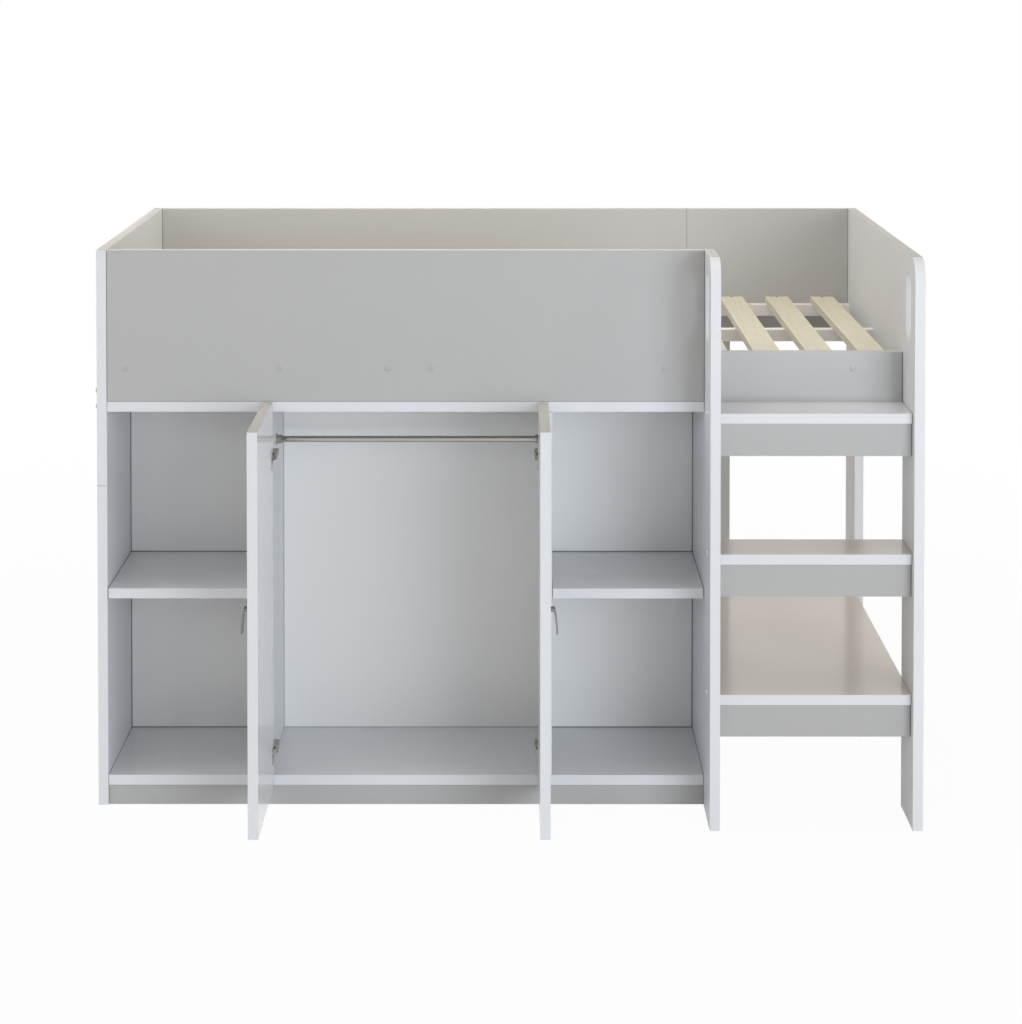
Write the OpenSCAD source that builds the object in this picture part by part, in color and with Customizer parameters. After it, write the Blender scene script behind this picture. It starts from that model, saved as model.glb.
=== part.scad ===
// Loft bed with a wardrobe unit underneath and a boarded step stair at the right end.
// +Z is up, +X runs along the bed to the right, -Y faces the front.
// The origin lies on the floor, half way along the bed, under the middle of the plinth board.

/* [Bed] */
// Overall length of the bed
bed_len = 2060; // [1940:10:2160]
// Height of the guards and end panels above the cabinet
guard_h = 384; // [330:1:450]
// Depth from the front plane of the cabinet to the rear face
bed_depth = 980; // [900:10:1100]
// Thickness of the main boards
board_t = 25; // [22:0.5:28]
// How far the stair stands ahead of the front plane
step_out = 175; // [150:5:220]
// Joint gap at the ends of the boards that fit between two others
end_gap = 0.8; // [0.4:0.1:1.5]
// Place of the joint in the left end, as a share of the bed's height
left_seam_share = 0.577; // [0.45:0.005:0.65]

/* [Cabinet] */
// Height of the cabinet, and of the top tread
cab_h = 1028; // [980:1:1060]
// Depth of the cabinet boards
cab_d = 365; // [320:5:400]
// Clear width of the wardrobe bay
robe_w = 690; // [600:5:700]
// Place of the side shelves, as a share of the clear height of the bays
shelf_share = 0.514; // [0.35:0.002:0.7]
// Setback of the shelves from the front plane
shelf_set = 1; // [0.5:0.5:10]
// Height of the plinth board
plinth_h = 52; // [45:1:80]
// Thickness of the plinth board
plinth_t = 18; // [16:1:22]
// Setback of the plinth from the front plane
plinth_set = 7; // [4:1:20]
// Thickness of the back sheets
back_t = 3; // [3:0.5:5]

/* [Guards] */
// Height of the entry rail top above the cabinet
entry_rise = 127; // [110:1:160]
// Drop of the entry rail below the top face of the top tread
entry_drop = 25; // [0:5:60]
// Distance of the joint in the rear guard behind the left face of the middle upright
rear_joint = 27; // [25:1:60]
// Height of the lower edge of the rear guard above the cabinet
rear_guard_rise = 6; // [0:1:30]
// Radius of the top front corner of the uprights
corner_r = 50; // [20:1:60]
// Width of the hand slots
slot_w = 70; // [40:1:80]
// Height of the hand slots
slot_h = 173; // [120:1:200]
// Distance from the top of the uprights down to the slots
slot_drop = 43; // [35:1:60]

/* [End panel and rear leg] */
// Depth of each leg of the right end panel
leg_w = 175; // [120:5:200]
// Drop of the cut-out between the legs of the right end panel below the cabinet's top
arch_drop = 68; // [30:2:120]
// Radius of the corners of that cut-out
arch_r = 15; // [5:1:40]
// Width of the rear leg board
rear_leg_w = 175; // [120:5:200]
// Reach of the rear leg board to the right of the joint in the rear guard
rear_leg_reach = 128; // [60:1:150]

/* [Stair] */
// Clear width of the stair
stair_w = 475; // [420:5:500]
// Height of the bottom tread, as a share of the cabinet's height
first_tread_share = 0.321; // [0.28:0.001:0.34]
// Depth of the upper two treads
tread_d = 150; // [130:5:170]
// Height of the boards under the treads
riser_h = 82; // [60:1:100]
// Thickness of the boards under the treads
riser_t = 18; // [16:1:25]
// Setback of those boards from the front edges of the treads
riser_set = 10; // [5:1:20]

/* [Slatted base] */
// Height of the rails that carry the slats
rail_h = 32; // [25:1:45]
// Thickness of those rails
rail_t = 34; // [25:1:45]
// Number of slats
slat_n = 15; // [12:1:18]
// Width of a slat
slat_w = 67; // [55:1:75]
// Thickness of a slat
slat_t = 20; // [15:1:25]
// Distance from an end panel to the centre of the first slat
slat_edge = 77; // [50:1:100]

/* [Hanging rail] */
// Diameter of the hanging rail
bar_d = 16; // [12:1:25]
// Wall of the hanging rail's tube
bar_wall = 1; // [0.8:0.1:2]
// Drop of its axis below the cabinet's top
bar_drop = 132; // [90:1:200]
// Distance of its axis behind the front plane
bar_y = 182; // [120:1:240]
// Length of the end sockets
socket_l = 16; // [10:1:25]
// Wall of the end sockets
socket_wall = 3; // [2:0.5:5]

/* [Doors] */
// Gap between the two closed doors
door_gap = 3; // [2:0.5:5]
// Reveal left around the closed doors
door_reveal = 1; // [0.5:0.5:3]
// Gap between the closed doors and the cabinet front
shut_gap = 3; // [2.5:0.1:4]
// Gap between the hinge edge and the cabinet front when the door stands open
open_gap = 3.5; // [3:0.1:5]
// How far an open door stands inside the wardrobe opening
open_inset = 10; // [8:0.5:12]

/* [Handles] */
// Place of the top of the handles, as a share of the cabinet's height
handle_share = 0.5846; // [0.4:0.002:0.8]
// Height of a handle
handle_h = 61; // [40:1:80]
// Width of a handle
handle_w = 24; // [15:1:40]
// Thickness of the metal
handle_t = 4.5; // [3:0.5:6]
// Height of the foot that stands on the door
handle_foot = 7; // [5:1:20]
// Reach of the blade from the door
handle_reach = 18; // [14:1:25]
// Reach of the foot from the door
handle_top = 11; // [9:1:20]
// Distance of the handle's middle from the free edge of the door
handle_edge = 30; // [20:1:60]

/* [Hinges] */
// Rise of the lower hinge above the plinth
low_hinge_rise = 88; // [80:1:150]
// Drop of the upper hinge below the cabinet's top
high_hinge_drop = 139; // [100:1:200]
// Diameter of the hinge cup
cup_d = 35; // [26:1:35]
// Depth of the hinge cup
cup_depth = 12; // [11:0.5:14]
// Wood left between the cup and the edge of the door
cup_edge = 4; // [3:0.5:6]
// Distance of the cup pivot from the edge of the door
pivot_u = 15; // [14:0.5:18]
// Depth of the cup pivot below the inner face of the door
pivot_v = 4; // [3.5:0.5:5]
// Turn of the link while the door turns a quarter
link_turn = 40; // [35:1:45]
// Width of the link along its pivots
link_w = 13; // [10:1:16]
// Thickness of the link
link_t = 2.2; // [2:0.1:3]
// Radius of the hinge pins
pin_r = 1.5; // [1:0.1:2]
// Length of the hinge arm
arm_l = 60; // [50:1:80]
// Thickness of the arm's metal
arm_t = 1.5; // [1:0.1:2]

/* [Hidden] */

$fn = 48;
// Overrun of every cut past the face that it opens
cut = 1;
white = [0.87, 0.88, 0.90];
grey = [0.66, 0.67, 0.67];
pine = [0.85, 0.81, 0.68];
steel = [0.72, 0.73, 0.74];

// Planes along X, from the left end to the right end
side_bay_w = (bed_len - 5 * board_t - robe_w - stair_w) / 2;
x_left = -bed_len / 2;
x_bay_a = x_left + board_t;
x_div_a = x_bay_a + side_bay_w;
x_robe_a = x_div_a + board_t;
x_robe_b = x_robe_a + robe_w;
x_bay_b = x_robe_b + board_t;
x_upright = x_bay_b + side_bay_w;
x_well = x_upright + board_t;
x_right = bed_len / 2;
x_end = x_right - board_t;

// Planes along Y, from the stair to the rear face
y_front = -(plinth_set + plinth_t / 2);
y_step = y_front - step_out;
y_tread = y_front - tread_d;
y_inner = y_front + board_t;
y_rear = y_front + bed_depth;
y_rear_in = y_rear - board_t;
y_back = y_front + cab_d;

// Levels along Z
bed_h = cab_h + guard_h;
left_seam_z = bed_h * left_seam_share;
z_floor_board = plinth_h + board_t;
z_top_board = cab_h - board_t;
shelf_z = z_floor_board + (z_top_board - z_floor_board) * shelf_share;
bar_z = cab_h - bar_drop;
arch_h = cab_h - arch_drop;
entry_z = cab_h + entry_rise;
rear_guard_z = cab_h + rear_guard_rise;
first_tread_z = cab_h * first_tread_share;
z_slat = entry_z - slat_t;
z_rail = z_slat - rail_h;
rise = (cab_h - first_tread_z) / 2;
z_tread_mid = first_tread_z + rise;
guard_x = x_upright + rear_joint;

// Bolts: head and shank
bolt_r = 3.5;
bolt_grip = 45;
bolt_head_r = 8;
bolt_head_t = 4;
bolt_dome_share = 1.5;
bolt_dome_r = bolt_head_r * bolt_dome_share;
bolt_fit = 0.25;
bolt_rise = 27;
y_guard_mid = y_front + board_t / 2;
y_rear_mid = y_rear - board_t / 2;
y_leg_mid = y_front - leg_w / 2;
y_cab_rear_bolt = y_back - board_t * 2;
z_rail_mid = z_rail + rail_h / 2;
z_top_mid = cab_h - board_t / 2;
z_floor_mid = plinth_h + board_t / 2;
y_centre = (y_inner + y_rear_in) / 2;
// Places of the bolts through each panel, as [y, z]
left_bolts = [[y_guard_mid, cab_h + bolt_rise], [y_guard_mid, z_top_mid],
    [y_cab_rear_bolt, z_top_mid], [y_cab_rear_bolt, z_floor_mid], [y_front + board_t * 2, z_floor_mid],
    [y_rear_mid, cab_h + bolt_rise], [y_rear_mid, bed_h - bolt_rise],
    [y_inner + rail_t / 2, z_rail_mid], [y_centre, z_rail_mid], [y_rear_in - rail_t / 2, z_rail_mid]];
right_bolts = [[y_guard_mid, cab_h + bolt_rise * 2], [y_rear_mid, cab_h + bolt_rise],
    [y_rear_mid, bed_h - bolt_rise], [y_leg_mid, cab_h - board_t / 2],
    [y_leg_mid, z_tread_mid - board_t / 2], [y_leg_mid, first_tread_z - board_t / 2],
    [y_rear - leg_w / 2, first_tread_z - board_t / 2],
    [y_inner + rail_t / 2, z_rail_mid], [y_centre, z_rail_mid], [y_rear_in - rail_t / 2, z_rail_mid]];
stair_bolts = [[y_leg_mid, cab_h - board_t / 2], [y_leg_mid, z_tread_mid - board_t / 2],
    [y_leg_mid, first_tread_z - board_t / 2]];

// Hinge geometry, in a frame with X = 0 on the divider's inner face and Y = 0 on its front edge
door_w = (robe_w + 2 * (board_t - door_reveal) - door_gap) / 2;
door_z0 = plinth_h + door_reveal;
door_z1 = cab_h - door_reveal;
overlay = board_t - door_reveal;
hinge_z = [plinth_h + low_hinge_rise, cab_h - high_hinge_drop];
function turned(p, a) = [p.x * cos(a) - p.y * sin(a), p.x * sin(a) + p.y * cos(a)];
pivot_open = [open_inset - pivot_v, -open_gap - pivot_u];
pivot_shut = [pivot_u - overlay, -shut_gap - pivot_v];
pivot_move = pivot_shut - pivot_open;
arm_pivot = (pivot_open + pivot_shut) / 2
    + [pivot_move.y, -pivot_move.x] / (2 * tan(link_turn / 2));
// The link's crank, given where it stands with the door shut, then turned to the open door
crank_x = 4;
crank_drop = 3;
crank_shut = [crank_x, -shut_gap - crank_drop];
crank_open = arm_pivot + turned(crank_shut - arm_pivot, link_turn);
eye_r = pin_r * 2;
web_gap = 1.5;
pin_run = 0.05;
pin_hold = 0.02;
arm_side_gap = 0.4;
arm_in = link_w / 2 + arm_side_gap;
arm_out = arm_in + arm_t;
arm_nose_r = 4.5;
arm_x0 = 3;
arm_x1 = arm_pivot.x + arm_nose_r;
plate_t = 2.5;
plate_gap = 0.2;
plate_h = 48;
plate_w = 14;
plate_share = 0.45;
plate_y = arm_l * plate_share;
cup_u = cup_edge + cup_d / 2;
flange_t = 1.2;
flange_ear_r = 6;
flange_ear_u = 9.5;
flange_ear_z = 22;
cup_wall_near = 2.5;
cup_wall_far = 4;
pocket_u0 = cup_edge + cup_wall_near;
pocket_u1 = cup_edge + cup_d - cup_wall_far;
pocket_depth = 9.5;
pocket_half = link_w / 2 + arm_side_gap;
cup_pin_half = pocket_half + 2;
cup_fit = 0.1;

// Handle outline
handle_z = cab_h * handle_share;
blade_steps = 12;

// Small parts
cap_r = 6;
cap_t = 1;
// Places of the caps along the guard and the entry rail, and above the front cleat's lower edge
cap_share = [0.031, 0.288, 0.469, 0.5425, 0.934];
cap_entry_share = 0.7326;
cap_rise_share = 0.3;
pin_d = 5;
pin_l = 16;
pin_depth = 8;
pin_inset = 40;
socket_rim = 4;
socket_base = 2.5;
bar_fit = 0.05;

// A board between two corners
module board(a, b) {
    translate(a) cube(b - a);
}

// A cylinder along X from x, at a place given as [y, z]
module bar_x(x, at, r, l) {
    translate([x, at.x, at.y]) rotate([0, 90, 0]) cylinder(r = r, h = l);
}

// Holes for bolts whose heads lie on the face at x, driven along dir
module bolt_holes(x, dir, places) {
    for (p = places) {
        bar_x(dir > 0 ? x - cut : x - bolt_grip - cut, p, bolt_r + bolt_fit, bolt_grip + 2 * cut);
    }
}

// One bolt with a low domed head
module bolt(x, dir, p) {
    translate([x, p.x, p.y]) rotate([0, 90 * dir, 0]) {
        cylinder(r = bolt_r, h = bolt_grip);
        intersection() {
            translate([0, 0, -bolt_head_t]) cylinder(r = bolt_head_r, h = bolt_head_t);
            translate([0, 0, bolt_dome_r - bolt_head_t]) sphere(r = bolt_dome_r);
        }
    }
}

module bolts_left(x, places) {
    for (p = places) bolt(x, 1, p);
}

module bolts_right(x, places) {
    for (p = places) bolt(x, -1, p);
}

module left_end_lower() {
    color(white) difference() {
        board([x_left, y_front, 0], [x_bay_a, y_rear, left_seam_z]);
        bolt_holes(x_left, 1, left_bolts);
        pin_holes(x_bay_a, x_div_a);
    }
}

module left_end_upper() {
    color(white) difference() {
        board([x_left, y_front, left_seam_z], [x_bay_a, y_rear, bed_h]);
        bolt_holes(x_left, 1, left_bolts);
    }
}

// Outline of an upright's top front corner and hand slot, as a cutter in the plane of Y and Z
module upright_cuts(x) {
    slot_y = (y_step + y_inner) / 2;
    slot_top = bed_h - slot_drop;
    r = slot_w / 2;
    bar_x(x - cut, [slot_y, slot_top - r], r, board_t + 2 * cut);
    bar_x(x - cut, [slot_y, slot_top - slot_h + r], r, board_t + 2 * cut);
    board([x - cut, slot_y - r, slot_top - slot_h + r], [x + board_t + cut, slot_y + r, slot_top - r]);
    difference() {
        board([x - cut, y_step - cut, bed_h - corner_r],
            [x + board_t + cut, y_step + corner_r, bed_h + cut]);
        bar_x(x - 2 * cut, [y_step + corner_r, bed_h - corner_r], corner_r, board_t + 4 * cut);
    }
}

module middle_upright() {
    color(white) difference() {
        union() {
            board([x_upright, y_step, 0], [x_well, y_back, cab_h]);
            board([x_upright, y_step, cab_h - cut], [x_well, y_inner, bed_h]);
        }
        upright_cuts(x_upright);
        bolt_holes(x_upright, 1, stair_bolts);
        pin_holes(x_bay_b, x_upright);
    }
}

module right_end_panel() {
    arch_y0 = y_front;
    arch_y1 = y_rear - leg_w;
    color(white) difference() {
        board([x_end, y_step, 0], [x_right, y_rear, bed_h]);
        upright_cuts(x_end);
        difference() {
            board([x_end - cut, arch_y0, -cut], [x_right + cut, arch_y1, arch_h]);
            for (y = [arch_y0, arch_y1 - arch_r])
                difference() {
                    board([x_end - 2 * cut, y, arch_h - arch_r], [x_right + 2 * cut, y + arch_r, arch_h]);
                    bar_x(x_end - 3 * cut, [y == arch_y0 ? y + arch_r : y, arch_h - arch_r], arch_r,
                        board_t + 6 * cut);
                }
        }
        bolt_holes(x_right, -1, right_bolts);
    }
}

module front_guard() {
    color(grey) difference() {
        board([x_bay_a + end_gap, y_front, cab_h], [x_upright - end_gap, y_inner, bed_h]);
        bolt_holes(x_left, 1, left_bolts);
    }
}

module entry_rail() {
    color(grey) difference() {
        board([x_well + end_gap, y_front, cab_h - entry_drop], [x_end - end_gap, y_inner, entry_z]);
        bolt_holes(x_right, -1, right_bolts);
    }
}

module rear_guard_long() {
    color(grey) difference() {
        board([x_bay_a, y_rear_in, rear_guard_z], [guard_x, y_rear, bed_h]);
        bolt_holes(x_left, 1, left_bolts);
    }
}

module rear_guard_short() {
    color(grey) difference() {
        board([guard_x + end_gap, y_rear_in, rear_guard_z], [x_end, y_rear, bed_h]);
        bolt_holes(x_right, -1, right_bolts);
    }
}

module rear_leg() {
    x = guard_x + rear_leg_reach;
    color(grey) board([x - rear_leg_w, y_rear_in, 0], [x, y_rear, rear_guard_z]);
}

module cabinet_top() {
    color(white) difference() {
        board([x_bay_a, y_front, z_top_board], [x_upright, y_back, cab_h]);
        bolt_holes(x_left, 1, left_bolts);
    }
}

module cabinet_bottom() {
    color(white) difference() {
        board([x_bay_a, y_front, plinth_h], [x_upright, y_back, z_floor_board]);
        bolt_holes(x_left, 1, left_bolts);
    }
}

module plinth() {
    color(grey) board([x_bay_a, y_front + plinth_set, 0],
        [x_upright, y_front + plinth_set + plinth_t, plinth_h]);
}

// Blind holes for the pins under a shelf that spans from xa to xb
module pin_holes(xa, xb) {
    for (y = [y_front + pin_inset, y_back - pin_inset]) {
        bar_x(xa - pin_depth, [y, shelf_z - board_t - pin_d / 2], pin_d / 2, pin_depth + cut);
        bar_x(xb - cut, [y, shelf_z - board_t - pin_d / 2], pin_d / 2, pin_depth + cut);
    }
}

module divider(x) {
    difference() {
        board([x, y_front, z_floor_board], [x + board_t, y_back, z_top_board]);
        pin_holes(x_bay_a, x_div_a);
        pin_holes(x_bay_b, x_upright);
    }
}

module left_divider() {
    color(white) divider(x_div_a);
}

module right_divider() {
    color(white) divider(x_robe_b);
}

module shelf(xa, xb) {
    board([xa + end_gap, y_front + shelf_set, shelf_z - board_t], [xb - end_gap, y_back, shelf_z]);
}

module left_shelf() {
    color(white) shelf(x_bay_a, x_div_a);
}

module right_shelf() {
    color(white) shelf(x_bay_b, x_upright);
}

// Back sheets, nailed on the rear edges of the cabinet boards
module back_sheet(xa, xb) {
    board([xa, y_back, plinth_h], [xb, y_back + back_t, cab_h]);
}

module left_back() {
    color(white) back_sheet(x_bay_a, x_div_a + board_t / 2 - end_gap / 2);
}

module wardrobe_back() {
    color(white) back_sheet(x_div_a + board_t / 2, x_robe_b + board_t / 2);
}

module right_back() {
    color(white) back_sheet(x_robe_b + board_t / 2 + end_gap / 2, x_well);
}

// A tread with its top face at z, running back to the plane y_end
module tread(z, y_end) {
    difference() {
        board([x_well + end_gap, y_tread, z - board_t], [x_end - end_gap, y_end, z]);
        bolt_holes(x_upright, 1, stair_bolts);
        bolt_holes(x_right, -1, right_bolts);
    }
}

module top_tread() {
    color(white) tread(cab_h, y_front);
}

module middle_tread() {
    color(white) tread(z_tread_mid, y_front);
}

module bottom_tread() {
    color(white) tread(first_tread_z, y_rear_in);
}

// The board that stiffens a tread from below
module riser(z) {
    y = y_tread + riser_set;
    board([x_well + end_gap, y, z - board_t - riser_h], [x_end - end_gap, y + riser_t, z - board_t]);
}

module top_riser() {
    color(grey) riser(cab_h);
}

module middle_riser() {
    color(grey) riser(z_tread_mid);
}

module bottom_riser() {
    color(grey) riser(first_tread_z);
}

// A rail along the bed, whose front face lies at y
module slat_rail(xa, xb, y) {
    difference() {
        board([xa, y, z_rail], [xb, y + rail_t, z_slat]);
        bolt_holes(x_left, 1, left_bolts);
        bolt_holes(x_right, -1, right_bolts);
    }
}

module front_cleat() {
    color(white) slat_rail(x_bay_a, x_upright - end_gap, y_inner);
}

module entry_cleat() {
    color(white) slat_rail(x_upright, x_end, y_inner);
}

module rear_cleat() {
    color(white) slat_rail(x_bay_a, x_end, y_rear_in - rail_t);
}

module centre_rail() {
    color(white) slat_rail(x_bay_a, x_end, y_centre - rail_t / 2);
}

module slats() {
    first = x_bay_a + slat_edge;
    pitch = (x_end - slat_edge - first) / (slat_n - 1);
    color(pine) for (i = [0 : slat_n - 1])
        board([first + i * pitch - slat_w / 2, y_inner + end_gap, z_slat],
            [first + i * pitch + slat_w / 2, y_rear_in - end_gap, entry_z]);
}

module frame_bolts() {
    color(steel) {
        bolts_left(x_left, left_bolts);
        bolts_left(x_upright, stair_bolts);
        bolts_right(x_right, right_bolts);
    }
}

// Caps over the screws that hold the front cleats
module cover_caps() {
    z = z_rail + rail_h * cap_rise_share;
    x_caps = [for (s = cap_share) x_bay_a + (x_upright - x_bay_a) * s];
    color(grey) for (x = concat(x_caps, [x_well + (x_end - x_well) * cap_entry_share]))
        translate([x, y_front, z]) rotate([90, 0, 0]) cylinder(r = cap_r, h = cap_t);
}

module shelf_pin(x, y, dir) {
    z = shelf_z - board_t - pin_d / 2;
    bar_x(dir > 0 ? x - pin_depth : x - (pin_l - pin_depth), [y, z], pin_d / 2, pin_l);
}

module shelf_pins() {
    color(steel) for (y = [y_front + pin_inset, y_back - pin_inset]) {
        for (x = [x_bay_a, x_bay_b]) shelf_pin(x, y, 1);
        for (x = [x_div_a, x_upright]) shelf_pin(x, y, -1);
    }
}

module hanging_rail() {
    at = [y_front + bar_y, bar_z];
    color(steel) difference() {
        bar_x(x_robe_a + socket_base, at, bar_d / 2, robe_w - 2 * socket_base);
        bar_x(x_robe_a + socket_base - cut, at, bar_d / 2 - bar_wall,
            robe_w - 2 * socket_base + 2 * cut);
    }
}

// End socket of the hanging rail, on a face at the local XY plane
module rail_socket() {
    r = bar_d / 2 + bar_fit;
    rotate_extrude() {
        square([r + socket_wall + socket_rim, socket_base]);
        translate([r, 0]) square([socket_wall, socket_l]);
    }
}

module rail_sockets() {
    color(steel) {
        translate([x_robe_a, y_front + bar_y, bar_z]) rotate([0, 90, 0]) rail_socket();
        translate([x_robe_b, y_front + bar_y, bar_z]) rotate([0, -90, 0]) rail_socket();
    }
}

// Places a left hinge part at both hinges; the right one is its mirror image
module at_hinges(right) {
    for (z = hinge_z)
        if (right) translate([x_robe_b, y_front, z]) mirror([1, 0, 0]) children();
        else translate([x_robe_a, y_front, z]) children();
}

// Mounting plate: a foot under the arm and two ears for the screws
module hinge_plate() {
    foot = arm_in - plate_gap;
    board([0, plate_y - plate_w / 2, -plate_h / 2], [plate_t, plate_y + plate_w / 2, plate_h / 2]);
    board([0, plate_y - plate_w, -foot], [arm_x1 - arm_t - plate_gap, arm_l - plate_gap, foot]);
}

// Arm: a channel open to the divider, with a nose that holds the fixed pivot
module hinge_arm() {
    web_y = arm_pivot.y + eye_r + web_gap;
    difference() {
        union() {
            board([arm_x0, arm_pivot.y, -arm_out], [arm_x1, arm_l, arm_out]);
            translate([arm_pivot.x, arm_pivot.y, -arm_out]) cylinder(r = arm_nose_r, h = 2 * arm_out);
        }
        board([arm_x0 - cut, arm_pivot.y - arm_nose_r - cut, -arm_in],
            [arm_x1 - arm_t, arm_l + cut, arm_in]);
        board([arm_x0 - cut, arm_pivot.y - arm_nose_r - cut, -arm_in], [arm_x1 + cut, web_y, arm_in]);
        translate([arm_pivot.x, arm_pivot.y, -arm_out - cut])
            cylinder(r = pin_r + pin_hold, h = 2 * (arm_out + cut));
    }
}

module arm_pin() {
    translate([arm_pivot.x, arm_pivot.y, -arm_out]) cylinder(r = pin_r, h = 2 * arm_out);
}

// Unit vector from a to b, and the vector to its left
function along(a, b) = (b - a) / norm(b - a);
function leftward(d) = [-d.y, d.x];

// Cranked link between the arm pivot and the cup pivot: a bent strip with an eye at each end
module hinge_link() {
    n1 = leftward(along(arm_pivot, crank_open)) * link_t / 2;
    n2 = leftward(along(crank_open, pivot_open)) * link_t / 2;
    corner = (n1 + n2) / (1 + n1 * n2 / (n1 * n1));
    translate([0, 0, -link_w / 2]) difference() {
        union() {
            linear_extrude(link_w) polygon([arm_pivot + n1, crank_open + corner, pivot_open + n2,
                pivot_open - n2, crank_open - corner, arm_pivot - n1]);
            for (p = [arm_pivot, pivot_open])
                translate([p.x, p.y, 0]) cylinder(r = eye_r, h = link_w);
        }
        for (p = [arm_pivot, pivot_open])
            translate([p.x, p.y, -cut]) cylinder(r = pin_r + pin_run, h = link_w + 2 * cut);
    }
}

// Takes door coordinates [into the door, along the door] to the open door's place
module on_door() {
    translate([open_inset, -open_gap, 0]) children();
}

module cup_pin() {
    translate([pivot_open.x, pivot_open.y, -cup_pin_half]) cylinder(r = pin_r, h = 2 * cup_pin_half);
}

module hinge_cup() {
    difference() {
        on_door() {
            translate([-cup_depth, -cup_u, 0]) rotate([0, 90, 0])
                cylinder(r = cup_d / 2, h = cup_depth + flange_t);
            rotate([0, 90, 0]) for (s = [-1, 1])
                translate([s * flange_ear_z, -cup_u - flange_ear_u, 0])
                    cylinder(r = flange_ear_r, h = flange_t);
            translate([0, -cup_u - flange_ear_u - flange_ear_r, -flange_ear_z])
                cube([flange_t, 2 * flange_ear_r, 2 * flange_ear_z]);
        }
        on_door() {
            board([-pocket_depth, -pocket_u1, -pocket_half],
                [flange_t + cut, -pocket_u0, pocket_half]);
            board([0, -pocket_u0 - cut, -pocket_half], [flange_t + cut, cut, pocket_half]);
        }
        translate([pivot_open.x, pivot_open.y, -cup_pin_half - pin_hold])
            cylinder(r = pin_r + pin_hold, h = 2 * (cup_pin_half + pin_hold));
    }
}

// The open left door, in the hinge frame at the floor
module door_leaf() {
    difference() {
        on_door() board([-board_t, -door_w, door_z0], [0, 0, door_z1]);
        for (z = hinge_z) translate([0, 0, z]) on_door()
            translate([-cup_depth - cup_fit, -cup_u, 0]) rotate([0, 90, 0])
                cylinder(r = cup_d / 2 + cup_fit, h = cup_depth + cup_fit + cut);
    }
}

// Reach and drop of the blade's outer face at the share k / blade_steps of its height
function blade_d(k) = handle_reach - (handle_reach - handle_top) * pow(1 - k / blade_steps, 2);
function blade_z(k) = -handle_h * k / blade_steps;

// Side view of the handle: a foot on the door and a blade that falls away from it
module handle_outline() {
    foot_k = ceil(blade_steps * handle_foot / handle_h) + 1;
    polygon(concat([[0, 0]],
        [for (k = [0 : blade_steps]) [blade_d(k), blade_z(k)]],
        [for (k = [blade_steps : -1 : foot_k]) [blade_d(k) - handle_t, blade_z(k)]],
        [[handle_top - handle_t, -handle_foot], [0, -handle_foot]]));
}

module handle() {
    translate([open_inset - board_t, -open_gap - door_w + handle_edge + handle_w / 2, handle_z])
        rotate([90, 0, 0]) mirror([1, 0, 0]) linear_extrude(handle_w) handle_outline();
}

// A door with its handle, in the room
module on_side(right) {
    if (right) translate([x_robe_b, y_front, 0]) mirror([1, 0, 0]) children();
    else translate([x_robe_a, y_front, 0]) children();
}

module left_hinge_plates() {
    color(steel) at_hinges(false) hinge_plate();
}

module left_hinge_arms() {
    color(steel) at_hinges(false) hinge_arm();
}

module left_arm_pins() {
    color(steel) at_hinges(false) arm_pin();
}

module left_links() {
    color(steel) at_hinges(false) hinge_link();
}

module left_cup_pins() {
    color(steel) at_hinges(false) cup_pin();
}

module left_cups() {
    color(steel) at_hinges(false) hinge_cup();
}

module left_door() {
    color(white) on_side(false) door_leaf();
}

module left_handle() {
    color(steel) on_side(false) handle();
}

module right_hinge_plates() {
    color(steel) at_hinges(true) hinge_plate();
}

module right_hinge_arms() {
    color(steel) at_hinges(true) hinge_arm();
}

module right_arm_pins() {
    color(steel) at_hinges(true) arm_pin();
}

module right_links() {
    color(steel) at_hinges(true) hinge_link();
}

module right_cup_pins() {
    color(steel) at_hinges(true) cup_pin();
}

module right_cups() {
    color(steel) at_hinges(true) hinge_cup();
}

module right_door() {
    color(white) on_side(true) door_leaf();
}

module right_handle() {
    color(steel) on_side(true) handle();
}

left_end_lower();
left_end_upper();
middle_upright();
right_end_panel();
front_guard();
entry_rail();
rear_guard_long();
rear_guard_short();
rear_leg();
cabinet_top();
cabinet_bottom();
plinth();
left_divider();
right_divider();
left_shelf();
right_shelf();
left_back();
wardrobe_back();
right_back();
top_tread();
middle_tread();
bottom_tread();
top_riser();
middle_riser();
bottom_riser();
front_cleat();
entry_cleat();
rear_cleat();
centre_rail();
slats();
frame_bolts();
cover_caps();
shelf_pins();
hanging_rail();
rail_sockets();
left_hinge_plates();
left_hinge_arms();
left_arm_pins();
left_links();
left_cup_pins();
left_cups();
left_door();
left_handle();
right_hinge_plates();
right_hinge_arms();
right_arm_pins();
right_links();
right_cup_pins();
right_cups();
right_door();
right_handle();
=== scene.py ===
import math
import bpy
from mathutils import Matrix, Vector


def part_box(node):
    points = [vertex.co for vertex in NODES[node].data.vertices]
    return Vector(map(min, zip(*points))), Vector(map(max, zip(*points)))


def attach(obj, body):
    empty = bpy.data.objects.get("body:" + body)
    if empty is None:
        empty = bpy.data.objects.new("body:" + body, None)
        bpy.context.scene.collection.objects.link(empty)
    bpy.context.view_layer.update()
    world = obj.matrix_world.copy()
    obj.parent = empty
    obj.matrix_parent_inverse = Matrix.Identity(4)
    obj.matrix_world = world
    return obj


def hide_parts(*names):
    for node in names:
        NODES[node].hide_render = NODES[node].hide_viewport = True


bl_info = {
    "name": "Loft bed with wardrobe and stair",
    "version": (1, 0, 0),
    "blender": (4, 5, 0),
    "location": "View3D > Sidebar > Loft bed",
    "description": "Finishes the boards, slats and fittings of a loft bed and sets its studio",
    "category": "Object",
}

import bmesh
import bpy
from bpy.props import FloatProperty, FloatVectorProperty, IntProperty, PointerProperty
from mathutils import Matrix, Vector

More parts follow.
